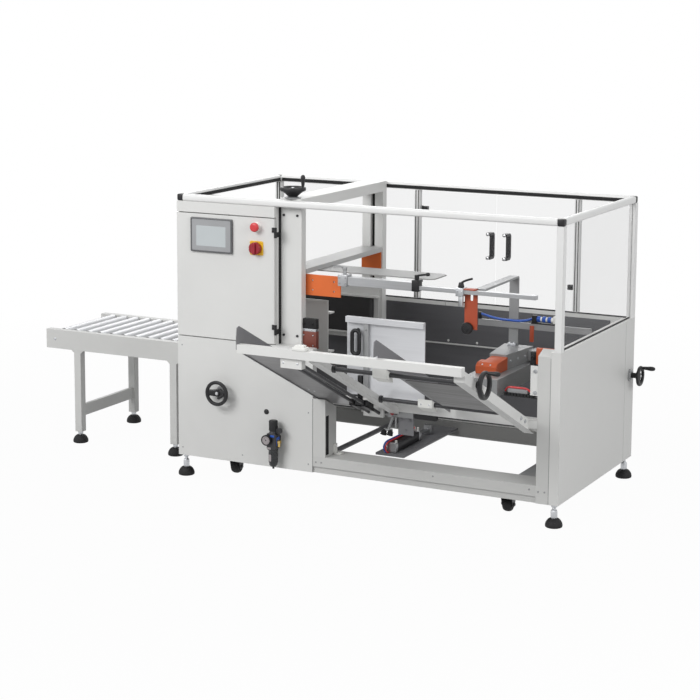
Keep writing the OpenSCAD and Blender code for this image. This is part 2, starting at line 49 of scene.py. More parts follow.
def zp(y):
    """Height of the blank plane of the magazine at a depth."""
    return MAG_Z - MAG_T * (y - MAG_Y)


AX = {
    "x": Vector((1, 0, 0)), "-x": Vector((-1, 0, 0)), "y": Vector((0, 1, 0)),
    "-y": Vector((0, -1, 0)), "z": Vector((0, 0, 1)), "-z": Vector((0, 0, -1)),
}
# Upward normal of the blank plane
NORMAL = Vector((0, MAG_T, 1)).normalized()


def axes(w, u=None):
    """Three square directions from one axis and, if given, a second."""
    w = (AX[w] if isinstance(w, str) else Vector(w)).normalized()
    if u is None:
        u = Vector((0, 0, 1)) if abs(w.z) < 0.9 else Vector((1, 0, 0))
    u = AX[u] if isinstance(u, str) else Vector(u)
    u = (u - w * u.dot(w)).normalized()
    return u, w.cross(u), w


def around(n):
    """Angles of n even steps round a circle."""
    return [2 * math.pi * i / n for i in range(n)]


def rounded(a, c, r, n=5):
    """Points round a rectangle of half sizes a and c with rounded corners."""
    out = []
    for sx, sy, q in ((1, 1, 0), (-1, 1, 1), (-1, -1, 2), (1, -1, 3)):
        for k in range(n):
            t = math.pi / 2 * (q + k / (n - 1))
            out.append((sx * (a - r) + r * math.cos(t), sy * (c - r) + r * math.sin(t)))
    return out


def squared(c, power):
    """Cosine or sine pushed outward, which turns a circle into a soft square."""
    return math.copysign(abs(c) ** power, c)


class Shape:
    """Mesh under construction, in machine millimetres."""

    def __init__(self):
        self.v, self.f = [], []

    def add(self, verts, faces):
        n = len(self.v)
        self.v += [Vector(p) for p in verts]
        self.f += [tuple(i + n for i in face) for face in faces]
        return self

    def rings(self, loops, closed=False, caps=True):
        """Skin through loops of equal count; a loop of one point is a pole."""
        verts, start, faces = [], [], []
        for loop in loops:
            start.append(len(verts))
            verts += loop
        pairs = list(zip(range(len(loops) - 1), range(1, len(loops))))
        if closed:
            pairs.append((len(loops) - 1, 0))
        for a, b in pairs:
            na, nb = len(loops[a]), len(loops[b])
            for i in range(max(na, nb)):
                j = (i + 1) % max(na, nb)
                quad = [start[a] + i % na, start[a] + j % na, start[b] + j % nb, start[b] + i % nb]
                quad = list(dict.fromkeys(quad))
                if len(quad) > 2:
                    faces.append(quad)
        if caps and not closed:
            if len(loops[0]) > 2:
                faces.append([start[0] + i for i in reversed(range(len(loops[0])))])
            if len(loops[-1]) > 2:
                faces.append([start[-1] + i for i in range(len(loops[-1]))])
        return self.add(verts, faces)

    def lathe(self, at, w, profile, n=32, u=None, closed=False):
        """Turned form: profile is (radius, height) pairs along the axis."""
        u, v, w = axes(w, u)
        at = Vector(at)
        loops = []
        for r, h in profile:
            mid = at + w * h
            if r < 1e-6:
                loops.append([mid])
            else:
                loops.append([mid + (u * math.cos(a) + v * math.sin(a)) * r for a in around(n)])
        return self.rings(loops, closed=closed)

    def pad(self, at, w, width, height, depth, r=4.0, b=1.5, u=None):
        """Rounded plate standing on a face: width along u, height along v, chamfered at both ends."""
        u, v, w = axes(w, u)
        at = Vector(at)
        loops = []
        for inset, h in ((b, 0.0), (0.0, b), (0.0, depth - b), (b, depth)):
            a, c = width / 2 - inset, height / 2 - inset
            corner = min(max(r - inset, 0.3), a, c)
            loops.append([at + u * p + v * q + w * h for p, q in rounded(a, c, corner)])
        return self.rings(loops)

    def window(self, at, w, size, hole, shift, depth, r=2.0, hr=5.0, u=None):
        """Flat plate with one rounded slot: size and hole are (width, height), shift moves the slot."""
        u, v, w = axes(w, u)
        at = Vector(at)
        outer, inner = (size, r, (0, 0)), (hole, hr, shift)
        loops = []
        for (form, corner, (du, dv)), h in ((outer, 0.0), (outer, depth), (inner, depth), (inner, 0.0)):
            edge = rounded(form[0] / 2, form[1] / 2, corner)
            loops.append([at + u * (du + p) + v * (dv + q) + w * h for p, q in edge])
        return self.rings(loops, closed=True)

    def box(self, x0, x1, y0, y1, z0, z1, b=2.0):
        """Box with softened edges."""
        tmp = bmesh.new()
        size = Matrix.Diagonal((x1 - x0, y1 - y0, z1 - z0, 1.0))
        mid = Matrix.Translation(((x0 + x1) / 2, (y0 + y1) / 2, (z0 + z1) / 2))
        bmesh.ops.create_cube(tmp, size=1.0, matrix=mid @ size)
        b = min(b, 0.45 * min(x1 - x0, y1 - y0, z1 - z0))
        bmesh.ops.bevel(tmp, geom=tmp.edges[:], offset=b, segments=2, profile=0.6, affect="EDGES")
        tmp.verts.index_update()
        self.add([p.co for p in tmp.verts], [[p.index for p in f.verts] for f in tmp.faces])
        tmp.free()
        return self

    def prism(self, outline, w, h0, h1, b=1.0, u=None):
        """Outline of (u, v) points drawn square to an axis and run from h0 to h1, with softened ends."""
        u, v, w = axes(w, u)
        mid = Vector((sum(p[0] for p in outline), sum(p[1] for p in outline))) / len(outline)
        loops = []
        for inset, h in ((b, h0), (0.0, h0 + b), (0.0, h1 - b), (b, h1)):
            loop = []
            for p in outline:
                q = Vector(p) - mid
                q = q * max(1 - inset / max(q.length, 1e-6), 0.1) + mid
                loop.append(u * q.x + v * q.y + w * h)
            loops.append(loop)
        return self.rings(loops)

    def tube(self, path, r, n=10):
        """Round tube along a path of points."""
        pts = [Vector(p) for p in path]
        loops, u = [], None
        for i, p in enumerate(pts):
            t = (pts[min(i + 1, len(pts) - 1)] - pts[max(i - 1, 0)]).normalized()
            if u is None:
                u = axes(t)[0]
            u = (u - t * u.dot(t)).normalized()
            v = t.cross(u)
            loops.append([p + (u * math.cos(a) + v * math.sin(a)) * r for a in around(n)])
        return self.rings(loops)

    def bolt(self, at, w, r=6.0, washer=True):
        """Hexagon head on a washer."""
        h = 0.0
        if washer:
            h = 0.18 * r
            self.lathe(at, w, [(0, 0), (1.55 * r, 0), (1.6 * r, 0.3), (1.55 * r, h), (0, h)], 20)
        top = h + 0.68 * r
        return self.lathe(at, w, [(0, h), (1.12 * r, h), (1.15 * r, h + 0.5 * r), (0.98 * r, top), (0, top)], 6)

    def socket(self, at, w, r=5.0):
        """Cap screw with a socket."""
        form = [(0, 0), (1, 0), (1, 0.8), (0.85, 1), (0.5, 1), (0.46, 0.45), (0, 0.45)]
        return self.lathe(at, w, [(a * r, h * r) for a, h in form], 18)

    def screw(self, at, w, r=4.0):
        """Domed screw head with a small recess."""
        form = [(0, 0), (1, 0), (0.95, 0.25), (0.6, 0.48), (0.2, 0.52), (0.16, 0.3), (0, 0.3)]
        return self.lathe(at, w, [(a * r, h * r) for a, h in form], 16)

    def thread(self, at, w, r, pitch, length, n=20, depth=1.2):
        """Screw thread: a helical ridge wound on a core."""
        u, v, w = axes(w)
        at = Vector(at)
        turns = int(length / pitch)
        loops = []
        for i in range(turns * n + 1):
            a = 2 * math.pi * i / n
            d = u * math.cos(a) + v * math.sin(a)
            h = pitch * i / n
            ridge = ((r - depth, -0.1), (r, 0.18), (r, 0.42), (r - depth, 0.7))
            loops.append([at + d * out + w * (h + part * pitch) for out, part in ridge])
        return self.rings(loops)


def soft_path(points, step=12.0):
    """Smooth path through the points (Catmull-Rom)."""
    p = [Vector(q) for q in points]
    p = [p[0] * 2 - p[1]] + p + [p[-1] * 2 - p[-2]]
    out = []
    for i in range(1, len(p) - 2):
        count = max(2, int((p[i + 1] - p[i]).length / step))
        for k in range(count):
            t = k / count
            a, b, c, d = p[i - 1:i + 3]
            out.append(0.5 * (2 * b + (c - a) * t + (2 * a - 5 * b + 4 * c - d) * t * t
                              + (3 * b - a - 3 * c + d) * t * t * t))
    return out + [p[-2]]


# Materials


def rgb(r, g, b):
    """Linear colour from display values."""
    def lin(c):
        c /= 255.0
        return c / 12.92 if c <= 0.04045 else ((c + 0.055) / 1.055) ** 2.4
    return (lin(r), lin(g), lin(b), 1.0)


def shade(c, k):
    return (min(c[0] * k, 1), min(c[1] * k, 1), min(c[2] * k, 1), 1.0)


def node(nt, kind, operation=None, **values):
    """New shader node with some of its inputs set; an underscore in a name stands for a space."""
    n = nt.nodes.new("ShaderNode" + kind)
    if operation:
        n.operation = operation
    for name, value in values.items():
        n.inputs[name.replace("_", " ")].default_value = value
    return n


# The part of the broad noise over which colour and roughness change
PATCHY = (0.3, 0.7)


def finish_mat(name, colour, dark=0.93, light=1.04, scale=5.0, stretch=(1, 1, 1), rough=(0.35, 0.5), metal=0.0,
               grain=700.0, bump=0.04, edge=0.0, round_mm=1.5, coat=0.0, alpha=1.0, spec=0.5, dim=None):
    """Surface with uneven colour and roughness, a fine grain and softened, slightly worn edges.

    dim is (axis, from, to, factor): the colour falls to the factor between two places in metres; on the rails and the
    magazine sheet this paints shade.
    """
    colour = rgb(*colour)
    m = bpy.data.materials.new(name)
    m.use_nodes = True
    nt = m.node_tree
    link = nt.links.new
    bsdf = nt.nodes["Principled BSDF"]
    where = node(nt, "TexCoord").outputs["Object"]
    place = node(nt, "Mapping", Scale=stretch)
    link(where, place.inputs["Vector"])
    broad = node(nt, "TexNoise", Scale=scale, Detail=5.0, Roughness=0.6)
    link(place.outputs["Vector"], broad.inputs["Vector"])
    ramp = node(nt, "ValToRGB")
    for i, k in enumerate((dark, light)):
        ramp.color_ramp.elements[i].position = PATCHY[i]
        ramp.color_ramp.elements[i].color = shade(colour, k)
    link(broad.outputs["Fac"], ramp.inputs["Fac"])
    colour_out = ramp.outputs["Color"]
    if dim:
        axis, start, end, factor = dim
        along = node(nt, "SeparateXYZ")
        link(where, along.inputs[0])
        fall = node(nt, "MapRange", From_Min=start, From_Max=end, To_Min=1.0, To_Max=factor)
        link(along.outputs[axis], fall.inputs["Value"])
        less = node(nt, "VectorMath", "SCALE")
        link(colour_out, less.inputs[0])
        link(fall.outputs["Result"], less.inputs["Scale"])
        colour_out = less.outputs["Vector"]
    soft = node(nt, "Bevel", Radius=round_mm / 1000.0)
    soft.samples = 4
    if edge:
        geo = node(nt, "NewGeometry")
        dot = node(nt, "VectorMath", "DOT_PRODUCT")
        link(soft.outputs["Normal"], dot.inputs[0])
        link(geo.outputs["True Normal"], dot.inputs[1])
        worn = node(nt, "MapRange", From_Min=0.98, From_Max=0.8, To_Max=edge)
        link(dot.outputs["Value"], worn.inputs["Value"])
        mix = node(nt, "Mix")
        mix.data_type = "RGBA"
        link(worn.outputs["Result"], mix.inputs["Factor"])
        link(colour_out, mix.inputs["A"])
        mix.inputs["B"].default_value = shade(colour, 1.6)
        colour_out = mix.outputs["Result"]
    link(colour_out, bsdf.inputs["Base Color"])
    span = node(nt, "MapRange", From_Min=PATCHY[0], From_Max=PATCHY[1], To_Min=rough[0], To_Max=rough[1])
    link(broad.outputs["Fac"], span.inputs["Value"])
    link(span.outputs["Result"], bsdf.inputs["Roughness"])
    fine = node(nt, "TexNoise", Scale=grain, Detail=2.0)
    link(place.outputs["Vector"], fine.inputs["Vector"])
    rise = node(nt, "Bump", Strength=bump, Distance=0.0006)
    link(fine.outputs["Fac"], rise.inputs["Height"])
    link(soft.outputs["Normal"], rise.inputs["Normal"])
    link(rise.outputs["Normal"], bsdf.inputs["Normal"])
    for name, value in (("Metallic", metal), ("Specular IOR Level", spec), ("Coat Weight", coat), ("Alpha", alpha)):
        bsdf.inputs[name].default_value = value
    return m


# The crosshead's colour steps down to 0.6 from here on, over the holding plate, in metres
HOLD_X = row((660.5, 0, 0)).x
PAINT = {"grain": 900, "bump": 0.08, "edge": 0.2}
ACCENT = {"grain": 900, "bump": 0.08, "edge": 0.15}

# Each finish: name, display colour, darkest and lightest patch, scale of the patches and, if given, its stretch
MAT = {
    "paint": finish_mat("powder_coat_grey", (221, 221, 219), 0.965, 1.02, 2.2, rough=(0.38, 0.5), **PAINT),
    "panel": finish_mat("powder_coat_panel", (219, 219, 217), 0.965, 1.02, 2.0, rough=(0.4, 0.52), **PAINT),
    "frame": finish_mat("powder_coat_frame", (207, 207, 205), 0.95, 1.03, 3.0, rough=(0.4, 0.55), **PAINT),
    # The rails darken towards the rear: painted shade on the rear rail, inside the machine.
    "rail": finish_mat("powder_coat_rails", (202, 202, 200), 0.95, 1.03, 3.0,
                       rough=(0.4, 0.55), **PAINT, dim=("Y", 0.5, 0.78, 0.42)),
    "white": finish_mat("white_profile", (234, 234, 233), 0.97, 1.01, 3.0,
                        rough=(0.3, 0.42), grain=900, bump=0.05, round_mm=5),
    "ivory": finish_mat("white_plastic", (240, 240, 236), 0.95, 1.02, 9.0,
                        rough=(0.4, 0.55), grain=600, bump=0.06, round_mm=2),
    "black": finish_mat("black_plastic", (27, 27, 29), 0.8, 1.25, 14.0,
                        rough=(0.36, 0.54), grain=900, bump=0.15, edge=0.25, spec=0.35),
    "rubber": finish_mat("black_rubber", (24, 24, 25), 0.8, 1.3, 18.0,
                         rough=(0.6, 0.8), grain=1200, bump=0.25, spec=0.35),
    "belt": finish_mat("belt_rubber", (33, 32, 33), 0.8, 1.25, 3.0, (1, 1, 40),
                       rough=(0.55, 0.75), grain=260, bump=0.3),
    "steel": finish_mat("brushed_steel", (196, 197, 199), 0.9, 1.08, 2.5, (2, 60, 60),
                        rough=(0.24, 0.38), metal=1.0, grain=40, bump=0.06),
    # Grey steel of the magazine trays: its dark grey is partly painted shade under the trays, and its fall towards
    # the right end is painted shade.
    "sheet": finish_mat("grey_steel_sheet", (130, 129, 131), 0.92, 1.06, 1.5, (1.5, 30, 30),
                        rough=(0.3, 0.45), metal=0.3, grain=40, bump=0.05, dim=("X", 0.5, 0.85, 0.29)),
    # Dark steel for the cross bar; on the rear wall's inner face it paints the shade there.
    "shade_and_dark_steel": finish_mat("painted_shade_and_dark_steel", (88, 88, 91), 0.92, 1.06, 2.0, (1.5, 30, 30),
                         rough=(0.4, 0.55), metal=0.2, grain=60, bump=0.05),
    "polished": finish_mat("polished_stainless", (218, 219, 222), 0.97, 1.02, 2.0, (2, 60, 60),
                           rough=(0.3, 0.4), metal=0.35, grain=60, bump=0.02),
    "roller": finish_mat("roller_tube", (196, 197, 199), 0.94, 1.05, 16.0, (1, 0.3, 1),
                         rough=(0.34, 0.48), metal=0.45, grain=500, bump=0.05),
    "zinc": finish_mat("zinc_tube", (188, 190, 193), 0.88, 1.1, 16.0, (1, 0.3, 1),
                       rough=(0.25, 0.42), metal=0.9, grain=500, bump=0.05),
    "darksteel": finish_mat("dark_steel", (58, 58, 60), 0.8, 1.25, 12.0,
                            rough=(0.3, 0.48), metal=0.6, grain=700, bump=0.1, edge=0.3),
    "greysteel": finish_mat("grey_steel", (150, 151, 152), 0.92, 1.06, 5.0,
                            rough=(0.36, 0.52), metal=0.35, grain=700, bump=0.06, edge=0.2),
    "slate": finish_mat("slate_steel", (126, 126, 129), 0.92, 1.06, 3.0,
                        rough=(0.42, 0.56), metal=0.2, grain=300, bump=0.06, edge=0.2),
    "alu": finish_mat("drawn_aluminium", (170, 171, 173), 0.93, 1.05, 3.0, (1.5, 70, 70),
                      rough=(0.28, 0.4), metal=0.8, grain=60, bump=0.05),
    "orange": finish_mat("orange_paint", (222, 108, 46), 0.92, 1.06, 5.0, rough=(0.36, 0.5), **ACCENT),
    "burnt": finish_mat("dark_orange_paint", (170, 72, 42), 0.9, 1.08, 6.0, rough=(0.38, 0.52), **ACCENT),
    "rust": finish_mat("cover_orange_paint", (186, 82, 38), 0.92, 1.06, 5.0, rough=(0.4, 0.54), **ACCENT),
    "bar": finish_mat("bar_paint", (226, 226, 224), 0.96, 1.02, 2.5, rough=(0.38, 0.5), **PAINT),
    "crosshead": finish_mat("crosshead_paint", (186, 186, 185), 0.96, 1.02, 2.5,
                            rough=(0.38, 0.5), **PAINT, dim=("X", HOLD_X, HOLD_X + 0.002, 0.6)),
    "red": finish_mat("red_plastic", (214, 62, 66), 0.93, 1.06, 16.0, rough=(0.28, 0.42), grain=900, bump=0.06),
    "darkred": finish_mat("dark_red_plastic", (150, 24, 40), 0.85, 1.15, 16.0,
                          rough=(0.26, 0.4), grain=900, bump=0.06),
    "yellow": finish_mat("yellow_plate", (240, 190, 40), 0.95, 1.04, 12.0, rough=(0.35, 0.5), grain=900, bump=0.05),
    "bezel": finish_mat("bezel_plastic", (160, 161, 163), 0.96, 1.03, 9.0, rough=(0.4, 0.52), grain=1100, bump=0.08),
    "rim": finish_mat("dark_grey_plastic", (92, 93, 95), 0.92, 1.08, 12.0, rough=(0.38, 0.5), grain=1000, bump=0.1),
    "screen": finish_mat("screen_glass", (190, 196, 198), 0.97, 1.03, 3.0,
                         rough=(0.1, 0.16), grain=1500, bump=0.01, coat=0.6, round_mm=0.5),
    "clear": finish_mat("clear_sheet", (128, 130, 131), 0.97, 1.03, 1.2,
                        rough=(0.06, 0.12), grain=50, bump=0.005, alpha=0.07, round_mm=0.8),
    "blue": finish_mat("blue_plastic", (34, 84, 178), 0.9, 1.1, 20.0, rough=(0.26, 0.4), grain=900, bump=0.04),
    "brass": finish_mat("brass_fitting", (196, 170, 108), 0.9, 1.08, 25.0,
                        rough=(0.24, 0.38), metal=1.0, grain=600, bump=0.05),
    # Orange paint darkened to its shaded tone: painted shade on the drive cover.
    "painted_shade_orange": finish_mat("shaded_orange_paint", (116, 58, 46), 0.9, 1.1, 7.0, rough=(0.4, 0.55), **ACCENT),
    "bowl": finish_mat("smoked_bowl", (30, 32, 35), 0.85, 1.2, 20.0,
                       rough=(0.2, 0.32), grain=900, bump=0.03, coat=0.2, spec=0.4),
    "dial": finish_mat("dial_face", (164, 157, 158), 0.97, 1.02, 30.0, rough=(0.3, 0.4), grain=900, bump=0.02),
}

# Finish of the CAD nodes
DRESS = {
    "paint": ["control_cabinet", "control_door", "gantry_posts", "belt_frames"],
    "panel": ["front_panel", "left_end_panel", "right_end_panel", "rear_panel"],
    "frame": ["conveyor_legs", "conveyor_channels", "frame_posts"],
    "rail": ["base_rails"],
    "white": ["guard_posts", "guard_top_rails"],
    "bar": ["magazine_bars", "gantry_beam"],
    "crosshead": ["crosshead"],
    "ivory": ["right_guide_blocks"],
    "black": ["door_hinges", "hinge_knuckles", "guard_corner_caps", "rear_door_left_fittings",
              "rear_door_right_fittings", "follower_handle", "magazine_handwheel", "front_handwheel",
              "end_handwheel", "lift_handwheel"],
    "rubber": ["levelling_feet", "casters"],
    "belt": ["side_belts"],
    "sheet": ["magazine_trays"],
    "slate": ["right_guide"],
    "polished": ["follower_plate"],
    "roller": ["roller_%02d" % i for i in range(1, 13)],
    "darksteel": ["magazine_rods", "air_regulator"],
    "greysteel": ["guide_stand"],
    "alu": ["top_guide_bar", "lower_cylinder"],
    "orange": ["crosshead_brackets", "blank_stop"],
    "red": ["stop_button"],
    "darkred": ["main_switch_knob"],
    "yellow": ["switch_plates"],
    "bezel": ["touch_screen"],
    "clear": ["guard_panels", "rear_door_left", "rear_door_right"],
}
for key, names in DRESS.items():
    for name in names:
        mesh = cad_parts[name].data
        mesh.materials.clear()
        mesh.materials.append(MAT[key])


# Edges that turn by more degrees than this are shaded sharp
SHARP = 38.0


def piece(name, shape, key, stands_for=(), body="machine"):
    """Turns a shape into an object that rides on a body, in a material slot and, if given, in place of nodes."""
    mesh = bpy.data.meshes.new(name)
    mesh.from_pydata([row(p) for p in shape.v], [], shape.f)
    bm = bmesh.new()
    bm.from_mesh(mesh)
    bmesh.ops.recalc_face_normals(bm, faces=bm.faces[:])
    bm.to_mesh(mesh)
    bm.free()
    for p in mesh.polygons:
        p.use_smooth = True
    mesh.set_sharp_from_angle(angle=math.radians(SHARP))
    mesh.materials.append(MAT[key])
    o = bpy.data.objects.new(name, mesh)
    bpy.context.scene.collection.objects.link(o)
    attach(o, body)
    if stands_for:
        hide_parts(*stands_for)


# Control cabinet: screen, buttons, hinges

SCREEN_X, SCREEN_Z, SCREEN_W, SCREEN_H = 199.5, 1214.5, 229, 165
STOP_AT = (448, 0, 1272)
SWITCH_X, SWITCH_Z = 447, 1169

bezel = Shape().pad((SCREEN_X, 0, SCREEN_Z), "-y", SCREEN_W, SCREEN_H, 11, r=7, b=1.5, u="x")
piece("screen_bezel", bezel, "bezel", ["touch_screen"], body="door")
loops = []
for inset, y in ((-1, -0.5), (-1, -11.5), (1, -12.6), (6, -12.6), (7, -10.8)):
    edge = rounded(SCREEN_W / 2 - inset, SCREEN_H / 2 - inset, 6)
    loops.append([Vector((SCREEN_X + p, y, SCREEN_Z + q)) for p, q in edge])
trim = Shape().rings(loops, caps=False)
piece("screen_trim", trim, "rim", body="door")
glass = Shape().pad((198.5, -10.9, 1210), "-y", 165, 99, 0.9, r=3, b=0.3, u="x")
piece("screen_glass", glass, "screen", body="door")

stop = Shape()
stop.lathe(STOP_AT, "-y", [(0, 10.6), (10, 10.6), (10, 16), (19, 16.4), (21.2, 18.5), (22.2, 25), (22.4, 28.5),
                           (21, 32), (17.5, 34.6), (12, 35.7), (5, 36), (0, 36)], 40)
piece("stop_mushroom", stop, "red", ["stop_button"], body="stop")
collar = Shape()
collar.lathe(STOP_AT, "-y", [(12, 0.2), (23, 0.2), (23, 3), (21, 4.6), (16.5, 5), (15.8, 9.6), (14, 10),
                             (12, 10)], 40, closed=True)
piece("stop_collar", collar, "ivory", body="door")
plate = Shape().pad((SWITCH_X, 0, SWITCH_Z), "-y", 72, 68, 5, r=7, b=1.2, u="x")
for dx in (-29, 29):
    for dz in (-27, 27):
        plate.screw((SWITCH_X + dx, -5, SWITCH_Z + dz), "-y", 3.2)
piece("switch_plate", plate, "yellow", ["switch_plates"], body="door")
loops = []
for h, base in ((5.6, 29), (7, 30), (27, 30), (29, 28.4)):
    loop = []
    for t in around(72):
        r = base - 1.6 * max(0.0, math.cos(6 * t)) ** 3
        loop.append(Vector((SWITCH_X + r * math.cos(t), -h, SWITCH_Z + r * math.sin(t))))
    loops.append(loop)
knob = Shape().rings(loops)
knob.pad((SWITCH_X, -28.8, SWITCH_Z), "-y", 17, 54, 10.4, r=8, b=3, u="x")
piece("main_switch_grip", knob, "darkred", ["main_switch_knob"], body="switch")

hinge_bits = Shape()
for z in (792.3, 1261.3):
    hinge_bits.screw((538, -4, z), "-y", 4)
piece("hinge_screws", hinge_bits, "darksteel", body="door")
# Black strip on the cabinet's right side: painted shade in the gap to the gantry post.
piece("cabinet_gap_shade", Shape().box(543.4, 550, 42, 54.6, 706, 1371, 1.2), "rubber")

# Lower front panel: plug, screws, seams, air preparation unit

REG_X, REG_Y = 560, -42
GAUGE_X, GAUGE_Z = 540, 255

plug = Shape().lathe((499, 0, 375), "-y", [(0, 0), (13, 0), (13, 2), (11, 4), (6, 5.4), (0, 5.8)], 28)
piece("panel_plug", plug, "black")
screws = Shape()
for x, z in ((728, 395), (728, 143), (364, 144), (24, 144), (24, 660), (728, 660)):
    screws.screw((x, 0, z), "-y", 3.6)
for x, z in ((769, 158), (798, 159), (1382, 166), (1860, 166), (1903, 160), (1934, 161)):
    screws.screw((x, 0, z), "-y", 4.5)
piece("panel_screws", screws, "greysteel")
seams = Shape().box(749.8, 752.2, -0.5, 2.0, 107, 466, 0.4)
seams.box(1951.2, 1952.8, -0.5, 2.0, 107, 776, 0.3)
piece("panel_seam", seams, "rim")

reg = Shape().pad((REG_X, REG_Y, 246.5), "-y", 50, 83, 24, r=9, b=3, u="x")
reg.pad((REG_X, -18, 246.5), "-y", 46, 74, 24, r=6, b=2, u="x")
reg.box(540, 580, -20, 0, 226, 268, 3)
reg.lathe((REG_X, REG_Y, 284), "z", [(0, 0), (20, 0), (20, 6), (18, 9), (18, 14), (0, 14)], 28)
reg.lathe((592, -36, 300), "-y", [(0, 0), (15, 0), (15, 14), (13, 16), (9, 16), (9, 13), (0, 13)], 24)
reg.box(576, 592, -46, -34, 272, 300, 3)
piece("regulator_body", reg, "darksteel", ["air_regulator"])
loops = []
for base, h in ((19, 297), (21.4, 299), (21.4, 335), (21.9, 343), (19.5, 348), (12, 349)):
    loop = []
    for i, t in enumerate(around(96)):
        r = base - (1.1 if (i // 3) % 2 and 298 < h < 341 else 0)
        loop.append(Vector((REG_X + r * math.cos(t), REG_Y + r * math.sin(t), h)))
    loops.append(loop)
knurl = Shape().rings(loops)
piece("regulator_knob", knurl, "black")
bowl = Shape()
bowl.lathe((REG_X, REG_Y, 0), "z", [(0, 110.4), (5, 110.4), (6, 121), (14, 122), (20, 131), (21.6, 142), (21.6, 198),
                                    (23, 200), (23, 207), (0, 207)], 36)
for t in around(12):
    x, y = REG_X + 21 * math.cos(t), REG_Y + 21 * math.sin(t)
    bowl.box(x - 1.6, x + 1.6, y - 1.6, y + 1.6, 142, 198, 0.8)
piece("regulator_bowl", bowl, "bowl")
sight = Shape().pad((554, -61.5, 166), "-y", 13, 34, 4, r=4, b=1, u="x")
sight.pad((549, -66, 214), "-y", 20, 10, 1.2, r=2, b=0.4, u="x")
piece("regulator_sight", sight, "dial")
accent = Shape().box(573, 585.4, -58, -26, 226, 268, 2)
accent.box(556, 578, -67.5, -64, 270, 280, 1)
piece("regulator_accent", accent, "blue")
port = Shape()
port.lathe((583, REG_Y, 245), "x", [(0, 0), (11, 0), (11, 6), (9, 7), (9, 15), (6, 17), (4, 17), (4, 10), (0, 10)], 6)
port.lathe((590, REG_Y, 245), "-z", [(0, 0), (8, 0), (8, 22), (6.5, 24), (4.5, 24), (4.5, 18), (0, 18)], 20)
piece("regulator_port", port, "brass")
gauge = Shape()
gauge.lathe((GAUGE_X, -66, GAUGE_Z), "-y", [(0, -6), (8, -6), (8, 2), (25, 2), (26, 4), (26, 15), (24, 18), (22, 18),
                                            (21, 14.4), (0, 14.4)], 40)
piece("gauge_case", gauge, "black")
dial = Shape().lathe((GAUGE_X, -66, GAUGE_Z), "-y", [(0, 14.5), (20.6, 14.5), (20.6, 15.1), (0, 15.1)], 40)
piece("gauge_dial", dial, "dial")
marks = Shape()
for i in range(13):
    t = math.radians(225 - 22.5 * i)
    d = Vector((math.cos(t), 0, math.sin(t)))
    long = 4.6 if i % 3 == 0 else 3.0
    c = Vector((GAUGE_X, -81.2, GAUGE_Z)) + d * (18.5 - long / 2)
    marks.pad(c, "-y", long, 1.0, 0.5, r=0.3, b=0.1, u=d)
NEEDLE = 2.2
d = Vector((math.cos(NEEDLE), 0, math.sin(NEEDLE)))
marks.pad(Vector((GAUGE_X, -81.4, GAUGE_Z)) + d * 6, "-y", 20, 1.2, 0.6, r=0.4, b=0.15, u=d)
marks.lathe((GAUGE_X, -81.2, GAUGE_Z), "-y", [(0, 0), (2.6, 0), (2.2, 1.2), (0, 1.4)], 14)
piece("gauge_marks", marks, "black")

# Handwheels

LIFT_AT, FRONT_AT, END_AT = (601.5, 76.5, 1410), (250, 0, 448), (2000, 960, 527)
RIM = 8.5


def handwheel(name, at, w, u, d, reach, knob_len, body, node_name, dish=False, deep=7.5, folded=False, sunk=False):
    """Moulded wheel: rounded rim, hub, centre bolt, two spokes or a full dish, and a crank knob, out or folded in.

    deep is half the rim's depth, and sunk sets the hub low behind the rim.
    """
    at = Vector(at)
    uu, vv, ww = axes(w, u)
    r = d / 2 - RIM
    s = Shape()
    section = [(r + RIM * squared(math.cos(t), 0.75), reach - deep + deep * squared(math.sin(t), 0.75))
               for t in around(14)]
    s.lathe(at, w, section, 56, u=u, closed=True)
    if sunk:
        hub = [(0, 0.6), (15, 0.6), (17, 3), (17, 11), (14, 14), (0, 14)]
        low, high, half = 9, reach - 14, 12
    else:
        hub = [(0, 0.6), (13, 0.6), (13, reach - 30), (17, reach - 27), (17, reach - 10), (14, reach - 6),
               (8.5, reach - 5.5), (8, reach - 8), (0, reach - 8)]
        low, high, half = reach - 19, reach - 8, 17
    s.lathe(at, w, hub, 28, u=u)
    if dish:
        bowl_form = [(15, reach - 45), (22, reach - 45), (r + 2, reach - 16), (r, reach - 5), (15, reach - 20)]
        s.lathe(at, w, bowl_form, 56, u=u, closed=True)
    else:
        for sign in (1, -1):
            loops = []
            for q in range(6):
                f = q / 5
                mid = at + uu * sign * (8 + (r - 6) * f)
                wide, thick, h = half - 2.5 * f, 7.5 - 2.5 * f, low + (high - low) * f
                loops.append([mid + vv * wide * squared(math.cos(a), 0.6)
                              + ww * (h + thick * squared(math.sin(a), 0.6)) for a in around(16)])
            s.rings(loops)
    if knob_len:
        k0 = reach + 6
        end = k0 + knob_len - 0.3
        swell = [(r1, k0 + part * knob_len) for r1, part in ((8.5, 0.3), (11, 0.62), (10.6, 0.8), (7.5, 0.95))]
        crank = [(0, reach - 6), (5, reach - 6), (5, k0), (7.5, k0 + 1), *swell, (3, end), (0, end)]
        s.lathe(at + uu * r, w, crank, 24)
    if folded:
        way = -uu * 0.8 - vv * 0.55
        grip_form = [(0, 0), (6, 0), (7, 12), (8.5, 26), (7.5, 40), (4, 45), (0, 45)]
        s.lathe(at + uu * (r - 12) + ww * (reach - 7), way, grip_form, 20)
    piece(name, s, "black", [node_name], body)
    b = Shape().bolt(at + ww * hub[-1][1], w, 6.5)
    piece(name + "_bolt", b, "steel", body=body)


handwheel("lift_wheel_moulding", LIFT_AT, "z", "x", 125, 54, 54, "lift_wheel", "lift_handwheel", dish=True, deep=10)
handwheel("magazine_wheel_moulding", (1850, -600, zp(-600)), "x", "z", 125, 46, 54,
          "magazine_wheel", "magazine_handwheel", deep=11, sunk=True)
handwheel("front_wheel_moulding", FRONT_AT, "-y", "x", 125, 58, 0, "front_wheel", "front_handwheel", folded=True)
handwheel("end_wheel_moulding", END_AT, "x", "z", 100, 62, 62, "end_wheel", "end_handwheel")

